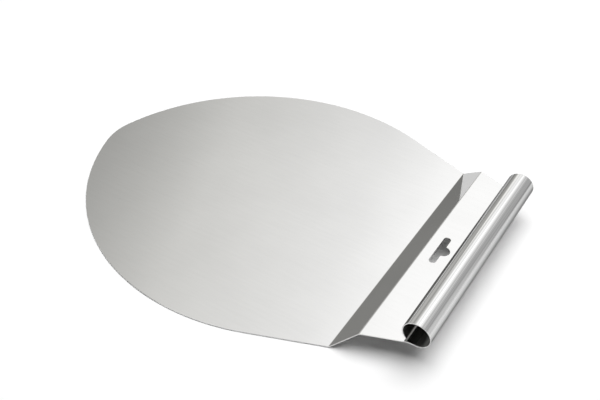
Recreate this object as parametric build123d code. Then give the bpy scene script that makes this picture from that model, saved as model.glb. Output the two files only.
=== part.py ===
from build123d import *
import math
import os

# Cake lifter folded from one sheet of steel, in millimetres.
# X runs from the nose to the handle, Y across the plate and Z up.
# The origin is at the middle of its length and width, on the plate's underside.
# Lengths along the plate, the step and the deck are taken on the sheet's underside.

# Sheet and folds
sheet = 0.8
bend_radius = 1.0
step_rise = 16.8
step_run = 18.9

# Plate outline: a nose arc between two shoulder arcs, widest at a share of the plate's length
plate_width = 300.0
plate_length = 305.7
nose_radius = 53.5
widest_share = 0.596

# Handle: the deck's end, square for its last stretch, rolled into an open tube
deck_length = 38.0
deck_square = 5.4
handle_diameter = 22.3
handle_length = 192.4
slit_gap = 2.8

# Hang slot: a bar across the deck with a half-round notch on its handle side
slot_width = 5.5
slot_length = 32.0
slot_from_step = 11.4
notch_radius = 5.2

# One overrun past every face that a cut or a common volume crosses
overrun = 5.0

# Places along the length
handle_radius = handle_diameter / 2
total_length = plate_length + step_run + deck_length + handle_radius
nose_x = -total_length / 2
lower_fold_x = nose_x + plate_length
upper_fold_x = lower_fold_x + step_run
handle_x = upper_fold_x + deck_length
handle_z = step_rise + handle_radius

# The folds' reach, from the crease of the underside to where the sheet is flat
step_angle = math.atan2(step_rise, step_run)
lower_reach = (bend_radius + sheet) * math.tan(step_angle / 2)
upper_reach = bend_radius * math.tan(step_angle / 2)
plate_end_x = lower_fold_x - lower_reach
deck_start_x = upper_fold_x + upper_reach

# The shoulder arc touches the nose arc and reaches the plate's full width at its widest place
nose_centre_x = nose_x + nose_radius
shoulder_x = nose_x + widest_share * plate_length
nose_to_shoulder = shoulder_x - nose_centre_x
half_width = plate_width / 2
shoulder_radius = (nose_to_shoulder**2 + half_width**2 - nose_radius**2) / (plate_width - 2 * nose_radius)
shoulder_y = half_width - shoulder_radius

# Each side of the flat blank is one straight line, which leaves the shoulder arc at a tangent
# and ends where the deck is as wide as the handle is long
handle_y = handle_length / 2
slope_length = math.hypot(step_rise, step_run)
blank_square_x = lower_fold_x + slope_length + deck_length - deck_square
corner_bearing = math.atan2(handle_y - shoulder_y, blank_square_x - shoulder_x)
corner_distance = math.hypot(handle_y - shoulder_y, blank_square_x - shoulder_x)
side_bearing = corner_bearing + math.acos(shoulder_radius / corner_distance)
taper = 1 / math.tan(side_bearing)

# Half-widths at the folds: the slope of the step makes the plan narrow faster there
deck_square_x = handle_x - deck_square
upper_fold_y = handle_y + taper * (deck_square_x - upper_fold_x)
lower_fold_y = upper_fold_y + taper * slope_length


def plan():
    """Plan of the whole lifter up to the handle's axis, mirrored from its +Y half."""
    nose_turn = math.degrees(math.atan2(-shoulder_y, nose_to_shoulder))
    shoulder_start = 180 - nose_turn
    shoulder_turn = math.degrees(side_bearing) - shoulder_start
    nose_arc = CenterArc((nose_centre_x, 0), nose_radius, 180, -nose_turn)
    shoulder_arc = CenterArc((shoulder_x, shoulder_y), shoulder_radius, shoulder_start, shoulder_turn)
    outline = Polyline(
        shoulder_arc @ 1,
        (lower_fold_x, lower_fold_y),
        (upper_fold_x, upper_fold_y),
        (deck_square_x, handle_y),
        (handle_x, handle_y),
        (handle_x, 0),
        (nose_x, 0),
    )
    half = make_face(Curve() + [nose_arc, shoulder_arc, outline])
    return half + mirror(half, Plane.XZ)


def folded_sheet():
    """Plate, step and deck as one fold of the sheet, cut to the plan."""
    underside = FilletPolyline(
        (nose_x - overrun, 0),
        (lower_fold_x, 0),
        (upper_fold_x, step_rise),
        (handle_x, step_rise),
        radius=[bend_radius + sheet, bend_radius],
    )
    section = make_face(offset(underside, sheet, side=Side.LEFT))
    strip = extrude(Plane.XZ * section, half_width + overrun, both=True)
    return strip & extrude(plan(), step_rise + handle_diameter)


def span(start_x, end_x):
    """Space between two stations along the length, clear past the sheet's edges."""
    depth = 2 * (half_width + overrun)
    height = 2 * (step_rise + handle_diameter)
    middle_x = (start_x + end_x) / 2
    return Pos(middle_x, 0, 0) * Box(end_x - start_x, depth, height)


def cake_plate():
    """Flat blade that slides under the cake."""
    return folded_sheet() & span(nose_x - overrun, plate_end_x)


def riser_step():
    """Both bends and the slope between the plate and the deck."""
    return folded_sheet() & span(plate_end_x, deck_start_x)


def hang_slot():
    """T-shaped hole: a round-ended bar across the deck and a half-round notch."""
    slot_x = upper_fold_x + slot_from_step
    bar = Pos(slot_x, 0) * SlotOverall(slot_length, slot_width, rotation=90)
    notch = Pos(slot_x + slot_width / 2, 0) * Circle(notch_radius)
    return Pos(0, 0, step_rise - overrun) * extrude(bar + notch, sheet + 2 * overrun)


def handle_deck():
    """Flat deck between the step and the handle, with the hang slot."""
    return folded_sheet() & span(deck_start_x, handle_x) - hang_slot()


def rolled_handle():
    """Deck's end rolled under, up and over into a tube that stops short of the deck."""
    inner_radius = handle_radius - sheet
    slit_angle = math.degrees(math.acos(1 - slit_gap / inner_radius))
    wrap = 360 - slit_angle
    outer = CenterArc((handle_x, handle_z), handle_radius, -90, wrap)
    inner = CenterArc((handle_x, handle_z), inner_radius, -90, wrap)
    ends = [Line(inner @ 0, outer @ 0), Line(inner @ 1, outer @ 1)]
    wall = make_face(Curve() + [outer, inner] + ends)
    return extrude(Plane.XZ * wall, handle_y, both=True)


nodes = {
    "cake_plate": cake_plate,
    "riser_step": riser_step,
    "handle_deck": handle_deck,
    "rolled_handle": rolled_handle,
}

os.makedirs("parts", exist_ok=True)
for name, build in nodes.items():
    export_step(build(), f"parts/{name}.step")
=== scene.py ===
import math

import bmesh
import bpy
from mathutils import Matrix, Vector
from mathutils.geometry import tessellate_polygon


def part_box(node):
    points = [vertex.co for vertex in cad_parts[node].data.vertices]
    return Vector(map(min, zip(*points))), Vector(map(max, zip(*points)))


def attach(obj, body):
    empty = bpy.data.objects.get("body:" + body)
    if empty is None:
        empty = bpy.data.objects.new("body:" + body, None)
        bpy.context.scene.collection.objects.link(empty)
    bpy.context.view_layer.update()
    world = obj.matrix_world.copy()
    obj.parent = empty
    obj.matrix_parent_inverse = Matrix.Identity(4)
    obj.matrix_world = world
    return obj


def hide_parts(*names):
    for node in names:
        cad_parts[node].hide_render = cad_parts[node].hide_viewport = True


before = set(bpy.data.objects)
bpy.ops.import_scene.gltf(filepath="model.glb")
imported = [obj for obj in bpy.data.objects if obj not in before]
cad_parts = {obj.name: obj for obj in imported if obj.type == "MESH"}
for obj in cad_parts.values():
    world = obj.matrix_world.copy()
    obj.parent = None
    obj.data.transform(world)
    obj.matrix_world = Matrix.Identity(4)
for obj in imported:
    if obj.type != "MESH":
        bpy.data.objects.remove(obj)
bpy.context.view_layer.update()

MM = 0.001
UP = Vector((0, 0, 1))
FACE_SLOT, CUT_SLOT, BORE_SLOT = range(3)

# Sizes read from the frame
plate_low, plate_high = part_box("cake_plate")
riser_low, riser_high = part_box("riser_step")
deck_low, deck_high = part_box("handle_deck")
tube_low, tube_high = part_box("rolled_handle")
sheet = plate_high.z - plate_low.z
half_width = plate_high.y
nose_x = plate_low.x
plate_end_x = riser_low.x
plate_end_y = riser_high.y
deck_start_x = deck_low.x
deck_start_y = deck_high.y
deck_mid_z = (deck_low.z + deck_high.z) / 2
handle_y = tube_high.y
tube_radius = (tube_high.x - tube_low.x) / 2
tube_x = (tube_high.x + tube_low.x) / 2
tube_z = (tube_high.z + tube_low.z) / 2

# Sizes of the object that its boxes don't give
nose_radius = 53.5 * MM
widest_from_nose = 182.2 * MM
step_angle = math.radians(41.63)
bend_radius = 1.0 * MM
deck_square = 5.4 * MM
slit_gap = 2.8 * MM
slot_width = 5.5 * MM
slot_length = 32.0 * MM
slot_from_step = 11.4 * MM
notch_radius = 5.2 * MM

# Rounding of the sheet's cut edges, the distance within which two vertices are one, and how finely
# curves are divided
edge_radius = 0.32 * MM
weld_distance = edge_radius / 100
edge_steps = 4
nose_steps = 24
shoulder_steps = 90
bend_steps = 10
tube_steps = 400
slot_steps = 16

# Sizes that follow from the others
half_sheet = sheet / 2
bend_mid_radius = bend_radius + half_sheet
upper_fold_x = deck_start_x - bend_radius * math.tan(step_angle / 2)


def rim_profile():
    """Cut edge from top to bottom: inset, height, and the normal's outward and upward parts."""
    turns = [math.pi / 2 * step / edge_steps for step in range(edge_steps + 1)]
    top = []
    for turn in turns:
        inset = edge_radius * (1 - math.sin(turn))
        height = half_sheet - edge_radius * (1 - math.cos(turn))
        top.append((inset, height, math.sin(turn), math.cos(turn)))
    bottom = [(inset, -height, out, -up) for inset, height, out, up in reversed(top)]
    return top + bottom


rim = rim_profile()
rim_slots = [FACE_SLOT] * edge_steps + [CUT_SLOT] + [FACE_SLOT] * edge_steps


# Mesh helpers: every vertex carries its exact normal, so that a mirror finish shows no facets
def new_mesh():
    mesh = bmesh.new()
    mesh.verts.layers.float_vector.new("exact_normal")
    return mesh


def add_vertex(mesh, place, normal):
    vertex = mesh.verts.new(place)
    vertex[mesh.verts.layers.float_vector["exact_normal"]] = normal.normalized()
    return vertex


def join_loops(mesh, first, second, closed, slots):
    """Faces between two loops of as many vertices, with the material slot of each face."""
    count = len(first)
    for i in range(count if closed else count - 1):
        j = (i + 1) % count
        face = mesh.faces.new((first[i], first[j], second[j], second[i]))
        face.material_index = slots[i]


def finish_piece(mesh, name, replaced):
    """Turns the mesh into an object that stands for a node of the frame."""
    bmesh.ops.remove_doubles(mesh, verts=mesh.verts, dist=weld_distance)
    bmesh.ops.recalc_face_normals(mesh, faces=mesh.faces)
    layer = mesh.verts.layers.float_vector["exact_normal"]
    mesh.verts.ensure_lookup_table()
    normals = [tuple(vertex[layer]) for vertex in mesh.verts]
    mesh.verts.layers.float_vector.remove(layer)
    data = bpy.data.meshes.new(name)
    mesh.to_mesh(data)
    mesh.free()
    data.polygons.foreach_set("use_smooth", [True] * len(data.polygons))
    data.normals_split_custom_set_from_vertices(normals)
    piece = bpy.data.objects.new(name, data)
    bpy.context.scene.collection.objects.link(piece)
    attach(piece, "root")
    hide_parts(replaced)
    return piece


# Flat stretches of the sheet: an outline is a run of (place, outward normal, inset direction)
def corner(place, before, after):
    """Point of an outline between two straight or round runs with their outward normals."""
    inset = (before + after) / -(1 + before.dot(after))
    return place, (before + after).normalized(), inset


def seam(place, normal):
    """End of an outline where the sheet goes on across a line of constant X."""
    return place, normal, Vector((0, -1 / normal.y, 0))


def arc(centre, radius, start, end, steps, inward=False):
    """Points of an arc between two angles, with the material inside it, or outside if inward."""
    points = []
    for step in range(steps + 1):
        angle = start + (end - start) * step / steps
        ray = Vector((math.cos(angle), math.sin(angle), 0))
        normal = -ray if inward else ray
        points.append((centre + ray * radius, normal, -normal))
    return points


def add_rim(mesh, outline, mid_z, closed=False):
    """Loops of the cut edge along an outline, from the top face's edge to the bottom face's."""
    loops = []
    for inset, height, out, up in rim:
        loop = []
        for place, normal, inset_way in outline:
            at = place + inset_way * inset + UP * (mid_z + height)
            loop.append(add_vertex(mesh, at, normal * out + UP * up))
        loops.append(loop)
    for upper, lower, slot in zip(loops, loops[1:], rim_slots):
        join_loops(mesh, upper, lower, closed, [slot] * len(outline))
    return loops


def add_seam_face(mesh, loops_before, loops_after):
    """Closes the sheet's section between the end of one rim and the start of the next."""
    down = [loop[-1] for loop in loops_before]
    up = [loop[0] for loop in reversed(loops_after)]
    mesh.faces.new(down + up)


def blade_outline():
    """Blade from its +Y seam round the nose to its -Y seam."""
    centre_x = nose_x + nose_radius
    shoulder_x = nose_x + widest_from_nose
    apart = shoulder_x - centre_x
    shoulder_radius = (apart**2 + half_width**2 - nose_radius**2) / (2 * (half_width - nose_radius))
    shoulder_y = half_width - shoulder_radius
    nose_turn = math.atan2(-shoulder_y, apart)
    away = Vector((plate_end_x - shoulder_x, plate_end_y - shoulder_y, 0))
    side_bearing = math.atan2(away.y, away.x) + math.acos(shoulder_radius / away.length)
    side_normal = Vector((math.cos(side_bearing), math.sin(side_bearing), 0))
    upper_centre = Vector((shoulder_x, shoulder_y, 0))
    lower_centre = Vector((shoulder_x, -shoulder_y, 0))
    nose_centre = Vector((centre_x, 0, 0))
    nose_start = math.pi - nose_turn
    nose_end = math.pi + nose_turn
    last_bearing = 2 * math.pi - side_bearing
    outline = [seam(Vector((plate_end_x, plate_end_y, 0)), side_normal)]
    outline += arc(upper_centre, shoulder_radius, side_bearing, nose_start, shoulder_steps)
    outline += arc(nose_centre, nose_radius, nose_start, nose_end, nose_steps)[1:-1]
    outline += arc(lower_centre, shoulder_radius, nose_end, last_bearing, shoulder_steps)
    mirrored = Vector((side_normal.x, -side_normal.y, 0))
    outline.append(seam(Vector((plate_end_x, -plate_end_y, 0)), mirrored))
    return outline


def make_blade():
    mesh = new_mesh()
    loops = add_rim(mesh, blade_outline(), half_sheet)
    mesh.faces.new(loops[0])
    mesh.faces.new(loops[-1])
    add_seam_face(mesh, loops, loops)
    return finish_piece(mesh, "polished_blade", "cake_plate")


def deck_side(side):
    """One side of the deck, tapered and then square, from the step to the handle."""
    taper = (deck_start_y - handle_y) / (tube_x - deck_square - deck_start_x)
    tapered = Vector((taper, side, 0)).normalized()
    square = Vector((0, side, 0))
    return [
        seam(Vector((deck_start_x, side * deck_start_y, 0)), tapered),
        corner(Vector((tube_x - deck_square, side * handle_y, 0)), tapered, square),
        seam(Vector((tube_x, side * handle_y, 0)), square),
    ]


def slot_outline():
    """Hang slot: a round-ended bar across the deck with a half-round notch on its handle side."""
    slot_x = upper_fold_x + slot_from_step
    bar_radius = slot_width / 2
    bar_y = slot_length / 2 - bar_radius
    quarter = math.pi / 2
    notch_centre = Vector((slot_x + bar_radius, 0, 0))
    notch = arc(notch_centre, notch_radius, -quarter, quarter, slot_steps, inward=True)
    left = Vector((-1, 0, 0))
    notch[0] = corner(notch[0][0], left, notch[0][1])
    notch[-1] = corner(notch[-1][0], notch[-1][1], left)
    far_centre = Vector((slot_x, bar_y, 0))
    near_centre = Vector((slot_x, -bar_y, 0))
    far_end = arc(far_centre, bar_radius, 0, math.pi, slot_steps, inward=True)
    near_end = arc(near_centre, bar_radius, math.pi, 2 * math.pi, slot_steps, inward=True)
    return notch + far_end + near_end


def fill_face(mesh, outer, hole):
    """Flat face with one hole, in triangles."""
    vertices = outer + hole
    for triangle in tessellate_polygon([[v.co for v in outer], [v.co for v in hole]]):
        mesh.faces.new([vertices[i] for i in triangle])


def make_deck():
    mesh = new_mesh()
    far = add_rim(mesh, deck_side(1), deck_mid_z)
    near = add_rim(mesh, deck_side(-1)[::-1], deck_mid_z)
    slot = add_rim(mesh, slot_outline(), deck_mid_z, closed=True)
    fill_face(mesh, far[0] + near[0], slot[0])
    fill_face(mesh, far[-1] + near[-1], slot[-1])
    add_seam_face(mesh, far, near)
    add_seam_face(mesh, near, far)
    return finish_piece(mesh, "polished_deck", "handle_deck")


# Bent stretches of the sheet: one ring per station along the bend
def add_row(mesh, centre, along, up, half, slant=0.0, shrink=0.0, lean=0.0):
    """Ring round the sheet's section. Shrink and lean round off a free end."""
    ring = []
    for side, profile in ((1, rim), (-1, rim[::-1])):
        outward = along * math.sin(slant) + Vector((0, side * math.cos(slant), 0))
        for inset, height, out_part, up_part in profile:
            normal = outward * out_part + up * up_part
            across = Vector((0, side * (half - inset / math.cos(slant)), 0))
            at = centre + across + up * height - normal * shrink
            ring.append(add_vertex(mesh, at, normal * math.cos(lean) + along * math.sin(lean)))
    return ring


def add_sweep(mesh, rows, rolled_rows, upper_slot):
    """Skin through the rings, with a face at each end. Rows past the rolled ones are cut edge."""
    slots = rim_slots + [FACE_SLOT] + rim_slots + [upper_slot]
    cut = [CUT_SLOT] * len(slots)
    for i, (before, after) in enumerate(zip(rows, rows[1:])):
        join_loops(mesh, before, after, True, slots if i < rolled_rows else cut)
    mesh.faces.new(rows[0])
    mesh.faces.new(rows[-1]).material_index = CUT_SLOT


def step_stations():
    """Middle of the sheet through both bends: each place there, and the sheet's upward normal."""
    low_centre = Vector((plate_end_x, 0, half_sheet + bend_mid_radius))
    high_centre = Vector((deck_start_x, 0, deck_mid_z - bend_mid_radius))
    stations = []
    for step in range(bend_steps + 1):
        turn = step_angle * step / bend_steps
        up = Vector((-math.sin(turn), 0, math.cos(turn)))
        stations.append((low_centre - up * bend_mid_radius, up))
    for step in range(bend_steps + 1):
        turn = step_angle * (1 - step / bend_steps)
        up = Vector((-math.sin(turn), 0, math.cos(turn)))
        stations.append((high_centre + up * bend_mid_radius, up))
    return stations


def make_riser():
    mesh = new_mesh()
    stations = step_stations()
    run = [0.0]
    for (before, _), (after, _) in zip(stations, stations[1:]):
        run.append(run[-1] + (after - before).length)
    taper = (plate_end_y - deck_start_y) / run[-1]
    rows = []
    for (place, up), distance in zip(stations, run):
        along = Vector((up.z, 0, -up.x))
        half = plate_end_y - taper * distance
        rows.append(add_row(mesh, place, along, up, half, slant=math.atan(taper)))
    add_sweep(mesh, rows, len(rows), FACE_SLOT)
    return finish_piece(mesh, "polished_riser", "riser_step")


def make_tube():
    mesh = new_mesh()
    mid_radius = tube_radius - half_sheet
    inner_radius = tube_radius - sheet
    centre = Vector((tube_x, 0, tube_z))
    wrap = 2 * math.pi - math.acos(1 - slit_gap / inner_radius)
    rounded = edge_radius / mid_radius
    last = wrap - rounded
    bends = [(last * step / tube_steps, 0.0) for step in range(tube_steps + 1)]
    for step in range(1, edge_steps + 1):
        lean = math.pi / 2 * step / edge_steps
        bends.append((last + rounded * math.sin(lean), lean))
    rows = []
    for turn, lean in bends:
        up = Vector((-math.sin(turn), 0, math.cos(turn)))
        along = Vector((math.cos(turn), 0, math.sin(turn)))
        middle = centre - up * mid_radius
        shrink = edge_radius * (1 - math.cos(lean))
        rows.append(add_row(mesh, middle, along, up, handle_y, shrink=shrink, lean=lean))
    add_sweep(mesh, rows, tube_steps, BORE_SLOT)
    return finish_piece(mesh, "polished_handle", "rolled_handle")


# Shader helpers
WHITE = (1, 1, 1)
BLACK = (0, 0, 0)

# Sockets of a Mix node for colours, whose names repeat
MIX_FACTOR, MIX_FIRST, MIX_SECOND, MIX_RESULT = 0, 6, 7, 2

# Noise: roughness of its octaves, its middle, and how far it usually strays from there
noise_roughness = 0.6
noise_middle = 0.5
noise_reach = 0.2


def node(tree, kind, **inputs):
    """Adds a node and sets the sockets named in inputs."""
    made = tree.nodes.new(kind)
    for name, value in inputs.items():
        made.inputs[name.replace("_", " ")].default_value = value
    return made


def ramp(tree, value, start, end, low, high):
    """Smooth step of a value from one level to another."""
    step = node(tree, "ShaderNodeMapRange", From_Min=start, From_Max=end, To_Min=low, To_Max=high)
    step.interpolation_type = "SMOOTHSTEP"
    tree.links.new(value, step.inputs["Value"])
    return step.outputs["Result"]


def combine(tree, operation, first, second):
    """Math node on two values. The second may be a plain number."""
    made = tree.nodes.new("ShaderNodeMath")
    made.operation = operation
    tree.links.new(first, made.inputs[0])
    if isinstance(second, float):
        made.inputs[1].default_value = second
    else:
        tree.links.new(second, made.inputs[1])
    return made.outputs["Value"]


def mix_colours(tree, factor, first, second):
    """Run from one colour to another as the factor goes from 0 to 1."""
    made = tree.nodes.new("ShaderNodeMix")
    made.data_type = "RGBA"
    made.inputs[MIX_FIRST].default_value = (*first, 1)
    made.inputs[MIX_SECOND].default_value = (*second, 1)
    tree.links.new(factor, made.inputs[MIX_FACTOR])
    return made.outputs[MIX_RESULT]


def mix_shaders(tree, factor, first, second):
    made = tree.nodes.new("ShaderNodeMixShader")
    tree.links.new(factor, made.inputs["Fac"])
    tree.links.new(first, made.inputs[1])
    tree.links.new(second, made.inputs[2])
    return made.outputs["Shader"]


def noise(tree, vector, scale, detail):
    made = node(
        tree, "ShaderNodeTexNoise", Scale=scale, Detail=detail, Roughness=noise_roughness
    )
    tree.links.new(vector, made.inputs["Vector"])
    return made.outputs["Fac"]


def spread(tree, value, low, high, reach=noise_reach):
    """Stretches a noise's reach to either side of its middle over a range of its own."""
    made = node(
        tree,
        "ShaderNodeMapRange",
        From_Min=noise_middle - reach,
        From_Max=noise_middle + reach,
        To_Min=low,
        To_Max=high,
    )
    tree.links.new(value, made.inputs["Value"])
    return made.outputs["Result"]


def bump(tree, height, depth, normal=None):
    made = node(tree, "ShaderNodeBump", Strength=1.0, Distance=depth)
    tree.links.new(height, made.inputs["Height"])
    if normal:
        tree.links.new(normal, made.inputs["Normal"])
    return made.outputs["Normal"]


# Steel: what its finishes share. The lines' scale is a share of the grain's, others are per metre
lines_scale = 0.45
lines_reach = 0.12
cloud_scale = 14.0
cloud_shade = 0.965
smear_scale = 45.0
smear_roughness = 0.012
wave_depth = 0.002 * MM


def steel_material(name, colour, roughness, grain_scale, grain_depth, lines_depth, edge_tint):
    """Polished steel: drawn grain with darker lines, smears of touch and a slow waviness."""
    material = bpy.data.materials.new(name)
    material.use_nodes = True
    tree = material.node_tree
    link = tree.links.new
    shader = tree.nodes["Principled BSDF"]
    shader.inputs["Metallic"].default_value = 1.0
    shader.inputs["Specular Tint"].default_value = (edge_tint, edge_tint, edge_tint, 1)
    places = tree.nodes.new("ShaderNodeTexCoord").outputs["Object"]

    stretch = node(tree, "ShaderNodeMapping", Scale=grain_scale)
    link(places, stretch.inputs["Vector"])
    grain = noise(tree, stretch.outputs["Vector"], scale=1.0, detail=4.0)
    lines = noise(tree, stretch.outputs["Vector"], scale=lines_scale, detail=2.0)
    cloud = noise(tree, places, scale=cloud_scale, detail=2.0)
    smear = noise(tree, places, scale=smear_scale, detail=5.0)

    dark_lines = spread(tree, lines, 1 - lines_depth, 1.0, reach=lines_reach)
    shade = combine(tree, "MULTIPLY", spread(tree, cloud, cloud_shade, 1.0), dark_lines)
    link(mix_colours(tree, shade, BLACK, colour), shader.inputs["Base Color"])

    touched = spread(tree, smear, -smear_roughness, smear_roughness)
    worn = combine(tree, "ADD", spread(tree, grain, *roughness), touched)
    link(worn, shader.inputs["Roughness"])

    waves = bump(tree, cloud, wave_depth)
    link(bump(tree, grain, grain_depth, waves), shader.inputs["Normal"])
    return material


def paint(piece, *materials):
    """Fills the piece's slots: rolled faces, cut edges and, on the handle, its bore, whose steel is
    darkened with painted shade.
    """
    for material in materials:
        piece.data.materials.append(material)


# Floor: half its width, how far it lies below the plate, its white, and where it turns plain white
floor_reach = 6.0
floor_drop = 0.3 * MM
paper_white = (0.95, 0.95, 0.95)
paper_roughness = 0.9
plain_from, plain_past = 0.38, 0.85


def direct_rays(tree, ray):
    """1 for rays from the camera, through glass too."""
    through_glass = ray.outputs["Is Transmission Ray"]
    return combine(tree, "MAXIMUM", ray.outputs["Is Camera Ray"], through_glass)


def floor_material():
    """White paper that takes the shadow near the object and is plain white far from it."""
    material = bpy.data.materials.new("white_paper")
    material.use_nodes = True
    tree = material.node_tree
    link = tree.links.new
    paper = tree.nodes["Principled BSDF"]
    paper.inputs["Base Color"].default_value = (*paper_white, 1)
    paper.inputs["Roughness"].default_value = paper_roughness
    paper.inputs["Specular IOR Level"].default_value = 0.0

    distance = tree.nodes.new("ShaderNodeVectorMath")
    distance.operation = "LENGTH"
    link(tree.nodes.new("ShaderNodeTexCoord").outputs["Object"], distance.inputs[0])
    away = ramp(tree, distance.outputs["Value"], plain_from, plain_past, 0, 1)
    ray = tree.nodes.new("ShaderNodeLightPath")
    shown = combine(tree, "MAXIMUM", direct_rays(tree, ray), ray.outputs["Is Glossy Ray"])
    plain = combine(tree, "MULTIPLY", away, shown)
    white = node(tree, "ShaderNodeEmission", Color=(*WHITE, 1), Strength=1.0)
    surface = mix_shaders(tree, plain, paper.outputs["BSDF"], white.outputs["Emission"])
    link(surface, tree.nodes["Material Output"].inputs["Surface"])
    return material


def make_floor():
    data = bpy.data.meshes.new("studio_floor")
    signs = ((-1, -1), (1, -1), (1, 1), (-1, 1))
    corners = [(x * floor_reach, y * floor_reach, -floor_drop) for x, y in signs]
    data.from_pydata(corners, [], [(0, 1, 2, 3)])
    floor = bpy.data.objects.new("studio_floor", data)
    bpy.context.scene.collection.objects.link(floor)
    data.materials.append(floor_material())


# The studio that metal mirrors. A direction in it is a unit vector: X towards the handle, Y to the
# far side, Z up. Its brightness along X comes as shares of its brightest part
studio_peak = 1.47
studio_shares = (
    (-1.00, 0.48),
    (-0.70, 0.45),
    (-0.64, 0.39),
    (-0.60, 0.38),
    (-0.56, 0.465),
    (-0.50, 0.62),
    (-0.40, 0.74),
    (-0.34, 0.81),
    (-0.30, 0.90),
    (-0.27, 0.97),
    (-0.22, 1.00),
    (0.00, 0.97),
    (0.12, 0.72),
    (0.30, 0.54),
    (0.50, 0.41),
    (0.65, 0.36),
    (1.00, 0.36),
)

# Bands of the studio: from which part of the direction to which, and the levels at the two. The
# strip makes the tube's white band, and the others dim what they cover
strip_rise = (-0.60, -0.50, 0.0, 1.0)
strip_fall = (-0.10, -0.25, 0.0, 1.0)
strip_height = (0.555, 0.51, 0.0, 1.15)
lower_sky = (0.57, 0.64, 0.95, 1.0)
zenith = (0.80, 0.97, 1.0, 0.68)
end_walls = (0.60, 0.85, 1.0, 0.66)
nose_side = (-0.45, -0.62, 0.0, 1.0)
horizon = (0.16, 0.04, 0.0, 1.0)
nose_horizon = (0.0, 1.0, 1.0, 0.66)

# The studio's slightly warm side and where it sets in, and the faint light that falls on the floor
# from all around
warm_light = (1, 0.995, 0.965)
warm_side = (-0.25, -0.60, 0.0, 1.0)
fill_strength = 0.08


def overlap(tree, first, first_band, second, second_band):
    """Product of two bands, so that only directions inside both count."""
    inside_first = ramp(tree, first, *first_band)
    inside_second = ramp(tree, second, *second_band)
    return combine(tree, "MULTIPLY", inside_first, inside_second)


def studio_level(tree, across, depth, height):
    """Brightness of the studio by direction: the shares, the strip, and then the dimmers."""
    link = tree.links.new
    place = node(tree, "ShaderNodeMapRange", From_Min=-1.0, From_Max=1.0)
    link(across, place.inputs["Value"])
    scrim = tree.nodes.new("ShaderNodeValToRGB")
    link(place.outputs["Result"], scrim.inputs["Fac"])
    stops = scrim.color_ramp.elements
    stops.remove(stops[0])
    for side, share in studio_shares:
        stops.new((side + 1) / 2).color = (share, share, share, 1)
    stops.remove(stops[-1])

    strip_width = overlap(tree, across, strip_rise, across, strip_fall)
    strip = combine(tree, "MULTIPLY", strip_width, ramp(tree, height, *strip_height))
    level = combine(tree, "MAXIMUM", scrim.outputs["Color"], strip)
    depth_squared = combine(tree, "MULTIPLY", depth, depth)
    low_at_nose = overlap(tree, across, nose_side, height, horizon)
    dimmers = (
        ramp(tree, height, *lower_sky),
        ramp(tree, height, *zenith),
        ramp(tree, depth_squared, *end_walls),
        ramp(tree, low_at_nose, *nose_horizon),
    )
    for dimmer in dimmers:
        level = combine(tree, "MULTIPLY", level, dimmer)
    return combine(tree, "MULTIPLY", level, studio_peak)


def make_world():
    """Studio for the metal, plain white for the camera and a faint fill for the floor."""
    world = bpy.data.worlds.new("studio")
    world.use_nodes = True
    bpy.context.scene.world = world
    tree = world.node_tree
    link = tree.links.new
    tree.nodes.clear()
    coord = tree.nodes.new("ShaderNodeTexCoord")
    split = tree.nodes.new("ShaderNodeSeparateXYZ")
    link(coord.outputs["Generated"], split.inputs["Vector"])
    across, depth, height = (split.outputs[axis] for axis in "XYZ")

    studio = tree.nodes.new("ShaderNodeBackground")
    warmth = ramp(tree, across, *warm_side)
    link(mix_colours(tree, warmth, WHITE, warm_light), studio.inputs["Color"])
    link(studio_level(tree, across, depth, height), studio.inputs["Strength"])
    fill = node(tree, "ShaderNodeBackground", Color=(*WHITE, 1), Strength=fill_strength)
    plain = node(tree, "ShaderNodeBackground", Color=(*WHITE, 1), Strength=1.0)

    # What the floor gathers is the fill, also where it comes by way of the metal
    ray = tree.nodes.new("ShaderNodeLightPath")
    in_metal = combine(tree, "SUBTRACT", ray.outputs["Is Glossy Ray"], ray.outputs["Diffuse Depth"])
    in_metal.node.use_clamp = True
    light = mix_shaders(tree, in_metal, fill.outputs["Background"], studio.outputs["Background"])
    shown = mix_shaders(tree, direct_rays(tree, ray), light, plain.outputs["Background"])
    link(shown, tree.nodes.new("ShaderNodeOutputWorld").inputs["Surface"])


def place_facing(thing, target, way, distance):
    """Puts a lamp or camera at a distance along the way from its target, looking back at it."""
    thing.location = target + way * distance
    thing.rotation_mode = "QUATERNION"
    thing.rotation_quaternion = way.to_track_quat("Z", "Y")
    bpy.context.scene.collection.objects.link(thing)


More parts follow.
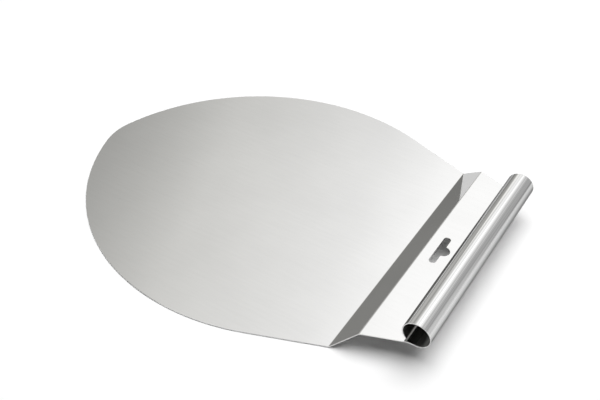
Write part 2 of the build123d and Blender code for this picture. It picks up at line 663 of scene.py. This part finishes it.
def make_softbox(name, azimuth, elevation, distance, size, power):
    """Round lamp that faces the object, placed by its bearing from +X towards +Y."""
    data = bpy.data.lights.new(name, "AREA")
    data.shape = "DISK"
    data.size = size
    data.energy = power
    lamp = bpy.data.objects.new(name, data)
    lamp.visible_glossy = False
    turn = math.radians(azimuth)
    rise = math.radians(elevation)
    way = Vector((math.cos(turn) * math.cos(rise), math.sin(turn) * math.cos(rise), math.sin(rise)))
    place_facing(lamp, Vector((0, 0, 0)), way, distance)


def make_camera():
    """Camera at the place found from the photo's outline, folds and tube."""
    azimuth = math.radians(32.42)
    elevation = math.radians(40.82)
    distance = 746.2 * MM
    target = Vector((14.0 * MM, 9.0 * MM, 0))
    back = Vector((
        math.sin(azimuth) * math.cos(elevation),
        -math.cos(azimuth) * math.cos(elevation),
        math.sin(elevation),
    ))
    data = bpy.data.cameras.new("camera")
    data.sensor_width = 36.0
    data.sensor_fit = "HORIZONTAL"
    data.lens = 51.83
    data.clip_start = 0.01
    camera = bpy.data.objects.new("camera", data)
    place_facing(camera, target, back, distance)
    bpy.context.scene.camera = camera


flat_steel = steel_material(
    "flat_steel",
    colour=(0.68, 0.679, 0.674),
    roughness=(0.03, 0.07),
    grain_scale=(60, 900, 60),
    grain_depth=0.0004 * MM,
    lines_depth=0.014,
    edge_tint=0.7,
)
tube_steel = steel_material(
    "tube_steel",
    colour=(0.77, 0.769, 0.766),
    roughness=(0.03, 0.10),
    grain_scale=(2200, 5, 2200),
    grain_depth=0.012 * MM,
    lines_depth=0.25,
    edge_tint=0.22,
)
cut_steel = steel_material(
    "cut_steel",
    colour=(0.72, 0.718, 0.71),
    roughness=(0.2, 0.4),
    grain_scale=(900, 900, 200),
    grain_depth=0.004 * MM,
    lines_depth=0.08,
    edge_tint=0.7,
)
# Inside of the tube: rougher than the outer face, which is real, and much darker, which is painted
# shade in the bore
bore_steel_painted_shade = steel_material(
    "bore_steel_painted_shade",
    colour=(0.42, 0.418, 0.413),
    roughness=(0.32, 0.42),
    grain_scale=(2200, 5, 2200),
    grain_depth=0.02 * MM,
    lines_depth=0.12,
    edge_tint=0.7,
)

for piece in (make_blade(), make_riser(), make_deck()):
    paint(piece, flat_steel, cut_steel)
paint(make_tube(), tube_steel, cut_steel, bore_steel_painted_shade)

make_floor()
make_world()
make_softbox("key", azimuth=64, elevation=77, distance=4.0, size=4.9, power=227)
make_camera()
bpy.context.scene.view_settings.view_transform = "Standard"
